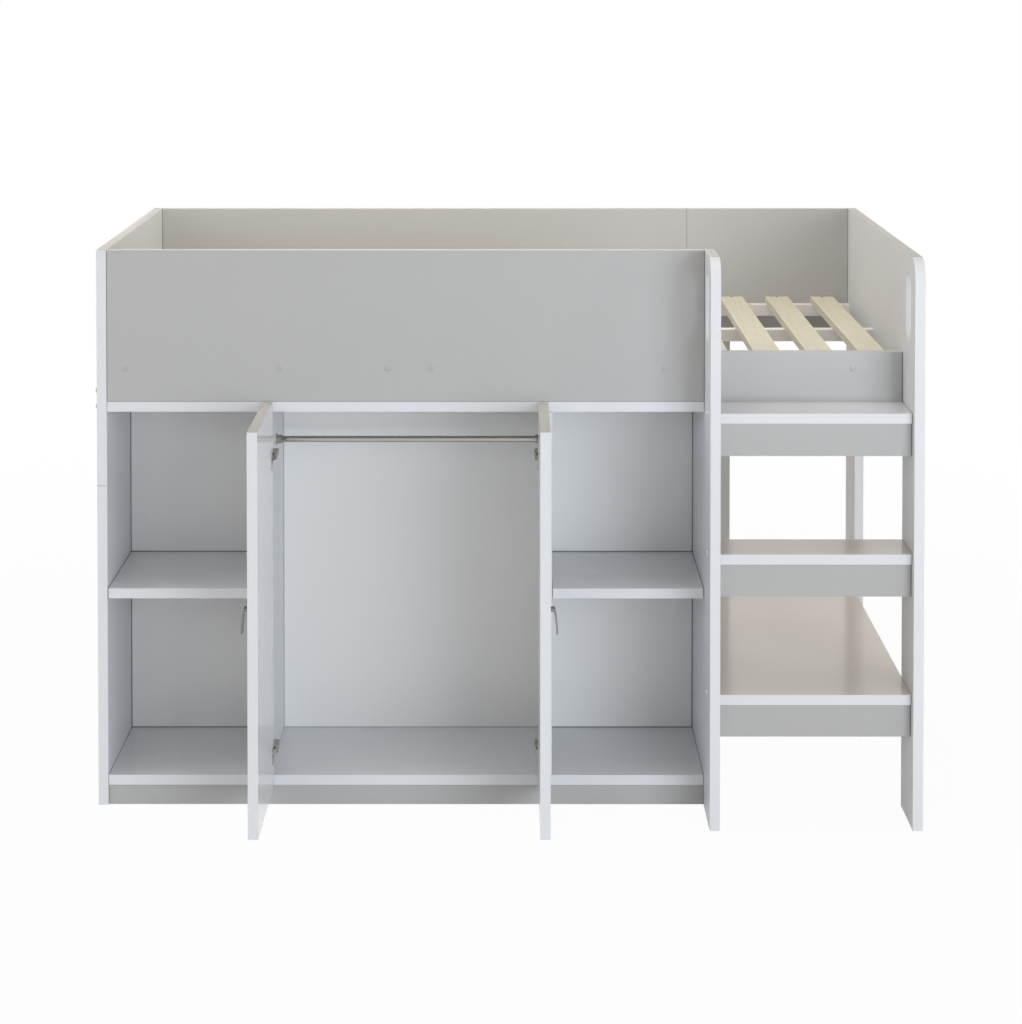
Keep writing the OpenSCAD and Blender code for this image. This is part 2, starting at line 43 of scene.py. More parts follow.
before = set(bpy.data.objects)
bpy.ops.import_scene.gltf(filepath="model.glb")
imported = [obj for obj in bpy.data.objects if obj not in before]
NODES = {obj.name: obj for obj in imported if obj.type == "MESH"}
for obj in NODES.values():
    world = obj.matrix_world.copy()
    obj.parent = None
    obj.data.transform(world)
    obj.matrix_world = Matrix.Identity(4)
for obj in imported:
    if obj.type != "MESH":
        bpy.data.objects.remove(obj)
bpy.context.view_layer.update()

# Each board with the sides where it butts against another board, small letters for the low side,
# and how dark the painted shade along those joints is
WHITE_BOARDS = {
    "left_end_lower": ("Z", 0.35), "left_end_upper": ("z", 0.35), "middle_upright": ("", 0.0),
    "right_end_panel": ("", 0.0), "cabinet_top": ("xX", 0.75), "cabinet_bottom": ("xX", 0.9),
    "left_divider": ("zZ", 0.8), "right_divider": ("zZ", 0.8), "left_shelf": ("xX", 0.95),
    "right_shelf": ("xX", 0.95), "top_tread": ("xX", 0.75), "middle_tread": ("xX", 0.6),
    "bottom_tread": ("X", 0.5), "left_door": ("", 0.0), "right_door": ("", 0.0),
}
GREY_BOARDS = {
    "front_guard": ("xXz", 0.55), "entry_rail": ("xX", 0.8), "rear_guard_long": ("x", 0.85),
    "rear_guard_short": ("X", 0.85), "rear_leg": ("Z", 0.5), "plinth": ("xXZ", 0.75),
    "top_riser": ("xX", 0.8), "middle_riser": ("xX", 0.8), "bottom_riser": ("xX", 0.8),
}
# The boards that have a matt foil
MATT_BOARDS = ("left_end_lower", "left_end_upper", "middle_upright", "right_end_panel",
               "left_divider", "right_divider", "rear_guard_long", "rear_guard_short",
               "front_guard")
# The boards whose top face gets another tone and a matt surface
TOP_TONED = ("left_end_upper", "middle_upright", "right_end_panel", "front_guard", "entry_rail",
         "rear_guard_long", "rear_guard_short", "left_door", "right_door")
# The treads whose top faces get a painted warm tone, standing in for warm reflected light
PAINTED_WARM_TREADS = ("middle_tread", "bottom_tread")
# Each back sheet with the boards at its left and right, its shelf, and how dark its painted shade
# lines are
BACK_SHEETS = {
    "left_back": ("left_end_lower", "left_divider", "left_shelf", 0.95),
    "wardrobe_back": ("left_divider", "right_divider", None, 0.55),
    "right_back": ("right_divider", "middle_upright", "right_shelf", 0.95),
}
RAILS = ("front_cleat", "entry_cleat", "rear_cleat", "centre_rail")
HINGE_PARTS = tuple(side + part for side in ("left_", "right_") for part in (
    "hinge_plates", "hinge_arms", "arm_pins", "links", "cup_pins", "cups"))

# A place in metres that no board reaches, so a plane there draws no line
FAR = 9.0
# Depth of the skin that counts as a board's top face, and as the inner face of the left end
TOP_SKIN = 0.0004
SIDE_SKIN = 0.0005
# How strongly each foil is clouded, and how much rougher the grey foil and the sheets are
WHITE_CLOUD, GREY_CLOUD, SHEET_CLOUD, PAINT_CLOUD = 0.03, 0.05, 0.04, 0.06
EXTRA_ROUGHNESS = 0.03
TOP_FACE_ROUGHNESS = 0.62
PAINT_ROUGHNESS = 0.45
CAP_ROUGHNESS = 0.22
BOLT_PAINT_ROUGHNESS = 0.2
# How much wider the painted shade lines on the sheets are, and how much deeper the sheets' and
# rails' ripple
SHEET_SHADE_LINE = 1.8
SHEET_RIPPLE = 2
RAIL_RIPPLE = 3
# Depth of the grain on the slats, and how weakly planed pine shines
GRAIN_DEPTH = 0.0002
PINE_SHINE = 0.35
# Each metal with its roughness, the strength of its drawn lines and their depth
METALS = {
    "nickel_plate": ("nickel", 0.24, 0.12, 0.00002),
    "satin_steel": ("satin", 0.3, 0.2, 0.00003),
    "dark_zinc": ("dark_zinc", 0.34, 0.15, 0.00002),
    "rail_chrome": ("chrome", 0.08, 0.06, 0.000004),
}

# Thickness of the hinge plates' sheet, where the screws sit on the plates and cups, and the
# arms' screws with their place as a share of the arm's length and their turn
PLATE_SHEET = 0.0025
PLATE_SCREW_INSET = 0.0065
PLATE_SCREW_SHIFT = 0.0002
ARM_SCREWS = ((0.45, 0.2), (0.8, 0.9))
CUP_SCREW_INSET = 0.006
CUP_SCREW_BACK = 0.0092
# How high a screw's head is to its radius, how the cups' and slats' screws differ from the rest,
# and how high a nail's head is to its radius
SCREW_RISE = 0.35
CUP_SCREW_SIZE = 0.9
SLAT_SCREW_SIZE = 1.15
SLAT_SCREW_RISE = 0.6
NAIL_RISE = 0.3
# Distance of the nails from the edges of a sheet, and the sides of a nail's head
NAIL_INSET = 0.007
NAIL_SIDES = 12
# Forms of the heads, as shares of their radius or height
DOME_TOP, DOME_ROUNDING = 0.9, 0.5
BOLT_TOP, BOLT_ROUNDING, BOLT_RIM = 0.62, 0.45, 0.08
SOCKET_SIZE, SOCKET_DEPTH = 0.36, 0.7
SCREW_TOP = 0.9
CROSS_SIZE, CROSS_ARM, CROSS_DEPTH = 0.42, 0.2, 0.8
# How the heads are turned, in radians, to which the place of each one adds
LEFT_TURN, RIGHT_TURN, UPRIGHT_TURN, PLATE_TURN, CUP_TURN = 0.3, 0.5, 0.1, 0.4, 0.7
SLAT_TURN = 7
# The angle from which an edge stays sharp, and the distance at which two points are one
SHARP = math.radians(35)
SAME_POINT = 0.00001
# How far a bolt's head stands from its board at most
BOLT_REACH = 0.006
# Tone, width and height of the screw caps beside the plain ones
CAP_TONE = 0.94
CAP_WIDTH = 1.2
CAP_HEIGHT = 1.4

# Half the floor's width, and the distances between which its white grows to full
FLOOR_HALF = 14.0
GLOW_FROM, GLOW_TO = 1.4, 5.0
COOL = (0.875, 0.935, 1.0)
BLUE = (0.78, 0.88, 1.0)
WARM = (1.0, 0.965, 0.91)
PLAIN = (1.0, 1.0, 1.0)
WIDE = math.pi
NARROW = math.radians(110)
# Each lamp with its place, its aim, its size, its tint and how far it spreads
LAMPS = {
    "key_lamp": ((3.2, -6.0, 1.6), (-0.3, 0.0, 0.7), (3.6, 2.0), COOL, WIDE),
    "high_lamp": ((3.2, -6.0, 3.0), (-0.3, 0.0, 0.8), (3.2, 1.6), COOL, WIDE),
    "low_lamp": ((2.2, -6.5, 0.7), (-0.2, 0.2, 0.5), (3.6, 1.2), BLUE, WIDE),
    "fill_lamp": ((-3.2, -6.0, 3.0), (0.3, 0.0, 0.8), (3.6, 1.6), COOL, WIDE),
    "top_lamp": ((0.0, 0.2, 4.6), (0.0, 0.2, 0.0), (4.0, 2.4), WARM, WIDE),
    "bed_lamp": ((-0.35, 0.0, 2.7), (-0.3, 0.94, 1.2), (1.8, 0.3), WARM, NARROW),
    "left_lamp": ((-4.6, -1.4, 1.9), (0.4, 0.2, 0.9), (2.4, 2.4), COOL, WIDE),
    "back_left_lamp": ((-4.2, 0.9, 3.4), (1.0, 0.3, 1.2), (2.0, 2.0), WARM, WIDE),
    "right_lamp": ((4.6, -1.4, 1.9), (-0.4, 0.2, 0.9), (2.4, 2.4), WARM, WIDE),
    "rear_lamp": ((0.0, 4.5, 3.6), (0.0, 0.2, 0.9), (4.0, 2.0), PLAIN, WIDE),
}


# Settings that a user of the panel would change

def colour(name, text, default):
    """A colour setting."""
    return FloatVectorProperty(name=name, description=text, default=default, size=3,
                               subtype="COLOR", min=0.0, max=1.0)


def length(name, text, default):
    """A length setting in metres."""
    return FloatProperty(name=name, description=text, default=default, min=0.0,
                         subtype="DISTANCE", unit="LENGTH")


def share(name, text, default):
    """A setting between none and all."""
    return FloatProperty(name=name, description=text, default=default, min=0.0, max=1.0,
                         subtype="FACTOR")


def angle(name, text, default):
    """An angle setting in radians."""
    return FloatProperty(name=name, description=text, default=default, subtype="ANGLE",
                         unit="ROTATION")


def power(name, text, default):
    """The power of a lamp in watts."""
    return FloatProperty(name=name, description=text, default=default, min=0.0, unit="POWER")


class LoftBedFinishSettings(bpy.types.PropertyGroup):
    """Colours and textures of the boards, slats and fittings"""

    white: colour("White foil", "Colour of the white boards", (0.735, 0.748, 0.768))
    grey: colour("Grey foil", "Colour of the grey boards", (0.450, 0.449, 0.440))
    # A warm tone painted on the lower treads' top faces, standing in for warm reflected light
    tread_top_warm_light: colour("Tread tops", "Warm colour of the lower treads' top faces",
                      (0.735, 0.685, 0.62))
    sheet: colour("Back sheets", "Colour of the sheets behind the cabinet", (0.832, 0.834, 0.822))
    rail_paint: colour("Rail paint", "Colour of the painted rails", (0.90, 0.89, 0.86))
    pine: colour("Pine", "Main colour of the slats", (0.74, 0.72, 0.605))
    pine_dark: colour("Pine grain", "Colour of the late rings in the slats", (0.63, 0.585, 0.435))
    nickel: colour("Nickel", "Colour of the hinges and screws", (0.36, 0.345, 0.32))
    dark_zinc: colour("Dark zinc", "Colour of the slat screws", (0.13, 0.12, 0.10))
    satin: colour("Satin steel", "Colour of the door handles", (0.20, 0.195, 0.19))
    chrome: colour("Chrome", "Colour of the hanging rail", (0.42, 0.405, 0.375))
    # Another tone for the top faces of the white and grey boards, which also turn matt there
    white_top_tone: colour("White edging", "Colour of the white boards' top edging",
                         (0.51, 0.505, 0.485))
    grey_top_tone: colour("Grey edging", "Colour of the grey boards' top edging",
                        (0.54, 0.53, 0.505))
    # Shade painted along the joints between boards, standing in for the shadow in the creases:
    # its dark colour and how far it reaches onto a board
    joint: colour("Joint lines", "Colour of the narrow joints between boards", (0.03, 0.03, 0.03))
    joint_shade_width: length("Joint width", "How far a joint's dark line reaches onto a board", 0.0026)
    foil_ripple: length("Foil ripple", "Depth of the ripple that the foil shows", 0.00003)
    panel_gloss: share("Matt foil roughness", "Roughness of the foil on the upright boards", 0.5)
    board_gloss: share("Board roughness", "Roughness of the foil on the other boards", 0.15)


class LoftBedFittingSettings(bpy.types.PropertyGroup):
    """Sizes of the small fittings"""

    bolt_radius: length("Bolt head radius", "Radius of the domed bolt heads", 0.008)
    bolt_rise: length("Bolt head height", "Height of the bolt heads over the board", 0.004)
    screw_radius: length("Screw head radius", "Radius of the screw heads", 0.0035)
    slat_screw_inset: length("Slat screw inset",
                             "Distance of the screws from a slat's rear end", 0.009)
    nail_radius: length("Nail head radius", "Radius of the nails in the back sheets", 0.0022)
    nail_pitch: length("Nail spacing", "Distance between two nails", 0.12)
    ring_segments: IntProperty(name="Head segments", description="Sides of a round head",
                               default=24, min=12, max=48)


class LoftBedStageSettings(bpy.types.PropertyGroup):
    """Camera, lamps and floor"""

    camera_place: FloatVectorProperty(name="Camera place", description="Where the camera stands",
                                      default=(0.0087, -5.8724, 2.1575), size=3,
                                      subtype="TRANSLATION", unit="LENGTH")
    focal: FloatProperty(name="Focal length", description="Focal length in millimetres",
                         default=82.12, min=10.0, max=200.0)
    tilt: angle("Tilt", "Downward tilt of the camera", 0.02802)
    turn: angle("Turn", "Sideways turn of the camera", 0.00099)
    shift_side: FloatProperty(name="Side shift", description="Lens shift sideways",
                              default=0.00513)
    shift_up: FloatProperty(name="Upward shift", description="Lens shift upwards",
                            default=-0.4817)
    floor: colour("Floor", "Colour of the floor", (0.86, 0.86, 0.86))
    page: share("Floor glow", "How white the floor near the bed looks", 0.955)
    room: FloatProperty(name="Room light", description="Strength of the even light of the room",
                        default=0.315, min=0.0, max=2.0)
    room_tint: colour("Room tint", "Colour of the even light of the room", (1.0, 0.87, 0.77))
    key_lamp: power("Key lamp", "Power of the right lamp at half height", 121.0)
    high_lamp: power("High lamp", "Power of the high lamp at the right", 45.0)
    low_lamp: power("Low lamp", "Power of the low lamp at the front", 67.0)
    fill_lamp: power("Fill lamp", "Power of the high lamp at the left", 49.0)
    top_lamp: power("Top lamp", "Power of the lamp overhead", 42.0)
    bed_lamp: power("Bed lamp", "Power of the lamp above the bed", 7.0)
    left_lamp: power("Left lamp", "Power of the lamp at the left end", 42.0)
    back_left_lamp: power("Rear left lamp", "Power of the high lamp behind the left end", 10.0)
    right_lamp: power("Right lamp", "Power of the lamp at the right end", 16.0)
    rear_lamp: power("Rear lamp", "Power of the lamp at the rear", 28.0)


# Building blocks of the finishes

def add_node(tree, kind, **values):
    """Adds a node and sets its properties."""
    node = tree.nodes.new(kind)
    for key, value in values.items():
        setattr(node, key, value)
    return node


def feed(tree, socket, value):
    """Links a socket to another one, or sets it to a value."""
    if isinstance(value, bpy.types.NodeSocket):
        tree.links.new(value, socket)
    else:
        socket.default_value = value


def maths(tree, operation, first, second=None, kind="ShaderNodeMath"):
    """The result of a maths node on one or two sockets or values."""
    node = add_node(tree, kind, operation=operation)
    feed(tree, node.inputs[0], first)
    if second is not None:
        feed(tree, node.inputs[1], second)
    return node.outputs[0]


def vector_maths(tree, operation, first, second=None):
    """The result of a maths node on one or two vectors."""
    return maths(tree, operation, first, second, "ShaderNodeVectorMath")


def axes(tree, vector):
    """A vector's X, Y and Z, by their names."""
    node = add_node(tree, "ShaderNodeSeparateXYZ")
    feed(tree, node.inputs[0], vector)
    return node.outputs


def mix_colour(tree, amount, first, second):
    """The first colour at no amount, and the second one at the full amount."""
    node = add_node(tree, "ShaderNodeMix", data_type="RGBA")
    # Its sockets for colours come after those for numbers and vectors, under the same names
    for place, value in ((0, amount), (6, first), (7, second)):
        feed(tree, node.inputs[place], value)
    return node.outputs[2]


def remap(tree, value, low, high, lowest=0.0, highest=1.0, kind="LINEAR"):
    """Maps the span from lowest to highest onto the span from low to high."""
    node = add_node(tree, "ShaderNodeMapRange", interpolation_type=kind)
    for key, end in (("Value", value), ("From Min", lowest), ("From Max", highest),
                     ("To Min", low), ("To Max", high)):
        feed(tree, node.inputs[key], end)
    return node.outputs["Result"]


def noise(tree, place, scale, detail=2.0, distortion=0.0):
    """A noise over the piece: its spots for each metre, its fineness and its twist."""
    node = add_node(tree, "ShaderNodeTexNoise")
    for key, value in (("Vector", place), ("Scale", scale), ("Detail", detail),
                       ("Distortion", distortion)):
        feed(tree, node.inputs[key], value)
    return node.outputs["Fac"]


def drawn_out(tree, place, scale):
    """A place scaled along each axis, which draws a pattern out along the least one."""
    node = add_node(tree, "ShaderNodeMapping")
    feed(tree, node.inputs["Vector"], place)
    feed(tree, node.inputs["Scale"], scale)
    return node.outputs[0]


def seen_rays(tree):
    """One for the rays that look at the backdrop, straight or off gloss or through glass."""
    path = add_node(tree, "ShaderNodeLightPath").outputs
    straight = maths(tree, "MAXIMUM", path["Is Camera Ray"], path["Is Transmission Ray"])
    return maths(tree, "MAXIMUM", straight, path["Is Glossy Ray"])


def new_group(name, inputs, outputs):
    """A node group with its sockets: gives back the group, its inside ends and the place."""
    group = bpy.data.node_groups.new(name, "ShaderNodeTree")
    kinds = {1: "NodeSocketFloat", 3: "NodeSocketVector", 4: "NodeSocketColor"}
    for key, default in inputs.items():
        size = len(default) if isinstance(default, tuple) else 1
        made = group.interface.new_socket(name=key, in_out="INPUT", socket_type=kinds[size])
        made.default_value = default
    for key in outputs:
        kind = "NodeSocketColor" if key == "Colour" else "NodeSocketFloat"
        group.interface.new_socket(name=key, in_out="OUTPUT", socket_type=kind)
    start = add_node(group, "NodeGroupInput").outputs
    end = add_node(group, "NodeGroupOutput").inputs
    return group, start, end, add_node(group, "ShaderNodeTexCoord").outputs["Object"]


def foil_group():
    """Foil on board: a soft ripple, faint cloudiness and hand marks."""
    group, start, end, place = new_group(
        "foil_surface", {"Colour": (0.8, 0.8, 0.8, 1.0), "Roughness": 0.2, "Cloud": 0.02},
        ("Colour", "Roughness", "Height"))
    broad = noise(group, place, scale=3.0, detail=3.0)
    fine = noise(group, place, scale=420.0)
    wave = noise(group, place, scale=14.0, detail=1.0)
    marks = noise(group, place, scale=26.0, detail=4.0, distortion=0.6)
    clouded = maths(group, "MULTIPLY", broad, start["Cloud"])
    shade = (0.35, 0.35, 0.36, 1.0)
    feed(group, end["Colour"], mix_colour(group, clouded, start["Colour"], shade))
    spread = remap(group, marks, low=-0.03, high=0.05)
    feed(group, end["Roughness"], maths(group, "ADD", start["Roughness"], spread))
    fine_share = 0.35
    height = maths(group, "ADD", maths(group, "MULTIPLY", fine, fine_share), wave)
    feed(group, end["Height"], height)
    return group


def joint_shade_group():
    """Painted shade: dark lines where a board ends against another, standing in for the shadow in
    the crease; within Width of the planes Low and High, and only below Limit."""
    group, start, end, place = new_group(
        "board_joints",
        {"Colour": (0.8, 0.8, 0.8, 1.0), "Joint": (0.03, 0.03, 0.03, 1.0),
         "Low": (-FAR, -FAR, -FAR), "High": (FAR, FAR, FAR), "Limit": (FAR, FAR, FAR),
         "Width": 0.0012, "Depth": 0.85}, ("Colour",))
    away = [vector_maths(group, "ABSOLUTE", vector_maths(group, "SUBTRACT", place, start[side]))
            for side in ("Low", "High")]
    near = axes(group, vector_maths(group, "MINIMUM", *away))
    least = maths(group, "MINIMUM", maths(group, "MINIMUM", near["X"], near["Y"]), near["Z"])
    line = remap(group, least, low=start["Depth"], high=0.0, highest=start["Width"],
                 kind="SMOOTHSTEP")
    left = axes(group, vector_maths(group, "SUBTRACT", start["Limit"], place))
    inside = maths(group, "GREATER_THAN", maths(group, "MINIMUM", left["X"], left["Y"]), 0.0)
    shown = maths(group, "MULTIPLY", line, inside)
    feed(group, end["Colour"], mix_colour(group, shown, start["Colour"], start["Joint"]))
    return group


def top_tone_and_warmth_group():
    """Another colour and a matt surface on a board's top face, above the height Top."""
    group, start, end, place = new_group(
        "top_edging",
        {"Colour": (0.8, 0.8, 0.8, 1.0), "Roughness": 0.2, "Edging": (0.8, 0.8, 0.8, 1.0),
         "Top": FAR}, ("Colour", "Roughness"))
    above = maths(group, "GREATER_THAN", axes(group, place)["Z"], start["Top"])
    feed(group, end["Colour"], mix_colour(group, above, start["Colour"], start["Edging"]))
    feed(group, end["Roughness"],
         remap(group, above, low=start["Roughness"], high=TOP_FACE_ROUGHNESS))
    return group


def grain_group():
    """Pine: rings stretched along the slat, pores, and a tone for each slat."""
    group, start, end, place = new_group(
        "pine_grain",
        {"Light": (0.76, 0.68, 0.5, 1.0), "Dark": (0.6, 0.5, 0.3, 1.0), "Pitch": 0.1326},
        ("Colour", "Roughness", "Height"))
    number = maths(group, "ROUND",
                   maths(group, "DIVIDE", axes(group, place)["X"], start["Pitch"]))
    own = add_node(group, "ShaderNodeTexWhiteNoise", noise_dimensions="1D")
    feed(group, own.inputs["W"], number)
    farthest = 7.0
    jump = add_node(group, "ShaderNodeVectorMath", operation="SCALE")
    feed(group, jump.inputs[0], own.outputs["Color"])
    feed(group, jump.inputs["Scale"], farthest)
    moved = vector_maths(group, "ADD", place, jump.outputs[0])
    along = drawn_out(group, moved, (1.0, 0.06, 1.0))
    rings = noise(group, along, scale=95.0, detail=3.0, distortion=0.7)
    pores = noise(group, along, scale=520.0)
    tone = start["Light"]
    for amount in (remap(group, rings, low=-0.35, high=1.05),
                   remap(group, pores, low=-0.12, high=0.26),
                   remap(group, own.outputs["Value"], low=0.0, high=0.16)):
        tone = mix_colour(group, amount, tone, start["Dark"])
    feed(group, end["Colour"], tone)
    feed(group, end["Roughness"], remap(group, pores, low=0.52, high=0.72))
    feed(group, end["Height"], rings)
    return group


def metal_group():
    """Metal: fine drawn lines and slight stains in the plating."""
    group, start, end, place = new_group(
        "plated_metal", {"Colour": (0.6, 0.6, 0.6, 1.0), "Roughness": 0.3, "Lines": 0.1},
        ("Colour", "Roughness", "Height"))
    lines = noise(group, drawn_out(group, place, (30.0, 1500.0, 1500.0)), scale=1.0)
    stain = noise(group, place, scale=60.0)
    amount = maths(group, "MULTIPLY", lines, start["Lines"])
    feed(group, end["Roughness"], maths(group, "ADD", start["Roughness"], amount))
    dull = remap(group, stain, low=0.0, high=0.22)
    tarnish = (0.30, 0.29, 0.27, 1.0)
    feed(group, end["Colour"], mix_colour(group, dull, start["Colour"], tarnish))
    feed(group, end["Height"], lines)
    return group


def group_named(name, build):
    """The surface group of that name, built once."""
    return bpy.data.node_groups.get(name) or build()


def finish(name, group, values, bump, **shader):
    """A material: one surface group feeding a Principled shader, with a bump."""
    material = bpy.data.materials.new(name)
    material.use_nodes = True
    tree = material.node_tree
    principled = tree.nodes["Principled BSDF"].inputs
    surface = add_node(tree, "ShaderNodeGroup", node_tree=group)
    for key, value in values.items():
        surface.inputs[key].default_value = value
    relief = add_node(tree, "ShaderNodeBump")
    feed(tree, relief.inputs["Distance"], bump)
    feed(tree, relief.inputs["Height"], surface.outputs["Height"])
    feed(tree, principled["Base Color"], surface.outputs["Colour"])
    feed(tree, principled["Roughness"], surface.outputs["Roughness"])
    feed(tree, principled["Normal"], relief.outputs["Normal"])
    for key, value in shader.items():
        principled[key].default_value = value
    return material


def put_between(material, group, sockets, values):
    """Puts a group between a material's surface and its shader."""
    tree = material.node_tree
    shader = tree.nodes["Principled BSDF"]
    extra = add_node(tree, "ShaderNodeGroup", node_tree=group)
    for key, value in values.items():
        extra.inputs[key].default_value = value
    for key, name in sockets.items():
        tree.links.new(shader.inputs[name].links[0].from_socket, extra.inputs[key])
        tree.links.new(extra.outputs[key], shader.inputs[name])


def rgba(values):
    """A colour setting as a shader colour."""
    return (values[0], values[1], values[2], 1.0)


def coat(names, material):
    """Gives CAD pieces a material in place of the plain one."""
    for name in names:
        for slot in NODES[name].material_slots:
            slot.material = material


# Building blocks of the small fittings

def new_piece(name, bm, material, body):
    """Makes an object from a bmesh, and lets it ride on a body."""
    bmesh.ops.recalc_face_normals(bm, faces=bm.faces)
    mesh = bpy.data.meshes.new(name)
    bm.to_mesh(mesh)
    bm.free()
    for face in mesh.polygons:
        face.use_smooth = True
    mesh.set_sharp_from_angle(angle=SHARP)
    mesh.materials.append(material)
    piece = bpy.data.objects.new(name, mesh)
    bpy.context.scene.collection.objects.link(piece)
    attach(piece, body)
    return piece


def lifted(height):
    """A move straight up."""
    return Matrix.Translation((0, 0, height))


def verts_of(made):
    """The points among what an operator made."""
    return [g for g in made["geom"] if isinstance(g, bmesh.types.BMVert)]


def edges_of(made, key):
    """The edges among what an operator made."""
    return [g for g in made[key] if isinstance(g, bmesh.types.BMEdge)]


def drum(radius, upper, rise, segments, rounding):
    """A low cone that stands on the plane z = 0, with its upper edge rounded."""
    bm = bmesh.new()
    bmesh.ops.create_cone(bm, cap_ends=True, segments=segments, radius1=radius,
                          radius2=upper, depth=rise, matrix=lifted(rise / 2))
    near_top = rise * 0.9
    top = [e for e in bm.edges if all(v.co.z > near_top for v in e.verts)]
    bmesh.ops.bevel(bm, geom=top, offset=rounding, segments=3, profile=0.5, affect="EDGES",
                    material=-1)
    return bm


def dome_head(radius, rise, segments):
    """A small domed head or cap, standing on the plane z = 0."""
    return drum(radius, radius * DOME_TOP, rise, segments, rise * DOME_ROUNDING)


def flat_top(bm, without=()):
    """The largest face that looks up."""
    upwards = 0.9
    return max((f for f in bm.faces if f.normal.z > upwards and f not in without),
               key=lambda f: f.calc_area())


def socket_head(radius, rise, segments):
    """A domed bolt head with a six-sided socket, standing on the plane z = 0."""
    corners = 6
    bm = drum(radius, radius * BOLT_TOP, rise, segments, rise * BOLT_ROUNDING)
    inner = bmesh.ops.inset_region(bm, faces=[flat_top(bm)], thickness=radius * BOLT_RIM,
                                   depth=0.0)
    cap = flat_top(bm, inner["faces"])
    ring = list(cap.edges)
    bmesh.ops.delete(bm, geom=[cap], context="FACES_ONLY")
    hexagon = bmesh.ops.create_circle(bm, cap_ends=False, segments=corners,
                                      radius=radius * SOCKET_SIZE, matrix=lifted(rise))
    sides = list({e for v in hexagon["verts"] for e in v.link_edges})
    cuts = len(ring) // corners - 1
    if cuts > 0:
        made = bmesh.ops.subdivide_edges(bm, edges=sides, cuts=cuts)
        sides = list({e for e in edges_of(made, "geom_inner") + edges_of(made, "geom_split")}
                     | set(e for e in sides if e.is_valid))
    bmesh.ops.bridge_loops(bm, edges=ring + sides)
    wall = bmesh.ops.extrude_edge_only(bm, edges=[e for e in sides if e.is_valid])
    low = verts_of(wall)
    bmesh.ops.translate(bm, verts=low, vec=(0, 0, -rise * SOCKET_DEPTH))
    floor = [e for e in edges_of(wall, "geom") if all(v in low for v in e.verts)]
    bmesh.ops.contextual_create(bm, geom=floor)
    return bm


def cross_head(radius, rise):
    """A low screw head with a cross recess, standing on the plane z = 0."""
    bm = bmesh.new()
    grid = bmesh.ops.create_grid(bm, x_segments=3, y_segments=3, size=radius * CROSS_SIZE,
                                 matrix=lifted(rise))
    faces = {f for v in grid["verts"] for f in v.link_faces}
    reach = radius * CROSS_ARM
    cross = [f for f in faces if min(abs(f.calc_center_median().x),
                                     abs(f.calc_center_median().y)) < reach]
    border = [e for e in bm.edges if e.is_boundary]
    low = verts_of(bmesh.ops.extrude_face_region(bm, geom=cross))
    bmesh.ops.delete(bm, geom=cross, context="FACES_ONLY")
    bmesh.ops.translate(bm, verts=low, vec=(0, 0, -rise * CROSS_DEPTH))
    ring = bmesh.ops.create_circle(bm, cap_ends=False, segments=len(border),
                                   radius=radius * SCREW_TOP, matrix=lifted(rise))
    upper = list({e for v in ring["verts"] for e in v.link_edges})
    base = bmesh.ops.create_circle(bm, cap_ends=False, segments=len(border), radius=radius)
    lower = list({e for v in base["verts"] for e in v.link_edges})
    bmesh.ops.bridge_loops(bm, edges=[e for e in border if e.is_valid] + upper)
    bmesh.ops.bridge_loops(bm, edges=upper + lower)
    bmesh.ops.contextual_create(bm, geom=lower)
    return bm


def stamp(pattern, places):
    """Copies one small form to many places, given as (point, direction, turn)."""
    single = bpy.data.meshes.new("pattern")
    pattern.to_mesh(single)
    pattern.free()
    bm = bmesh.new()
    for point, direction, turn in places:
        before = set(bm.verts)
        bm.from_mesh(single)
        fresh = [v for v in bm.verts if v not in before]
        spin = Matrix.Rotation(turn, 4, "Z")
        face = Vector(direction).to_track_quat("Z", "Y").to_matrix().to_4x4()
        bmesh.ops.transform(bm, matrix=Matrix.Translation(point) @ face @ spin, verts=fresh)
    bpy.data.meshes.remove(single)
    return bm


def islands(name):
    """The boxes of the separate solids in a CAD piece, each as (low, high)."""
    bm = bmesh.new()
    bm.from_mesh(NODES[name].data)
    bmesh.ops.remove_doubles(bm, verts=bm.verts, dist=SAME_POINT)
    left = set(bm.verts)
    found = []
    while left:
        stack = [left.pop()]
        low = stack[0].co.copy()
        high = stack[0].co.copy()
        while stack:
            v = stack.pop()
            for i in range(3):
                low[i] = min(low[i], v.co[i])
                high[i] = max(high[i], v.co[i])
            for e in v.link_edges:
                other = e.other_vert(v)
                if other in left:
                    left.remove(other)
                    stack.append(other)
        found.append((low, high))
    bm.free()
    if not found:
        raise RuntimeError(name + " has no solids")
    found.sort(key=lambda b: (round(b[0].z, 4), round(b[0].x, 4), round(b[0].y, 4)))
    return found


def middle(box):
    """The centre of a box."""
    return (box[0] + box[1]) / 2


def face_of(box, sign):
    """The x of a box's right face for a sign of 1, and of its left face for -1."""
    return box[1].x if sign > 0 else box[0].x


# One operator for each piece or group of like pieces

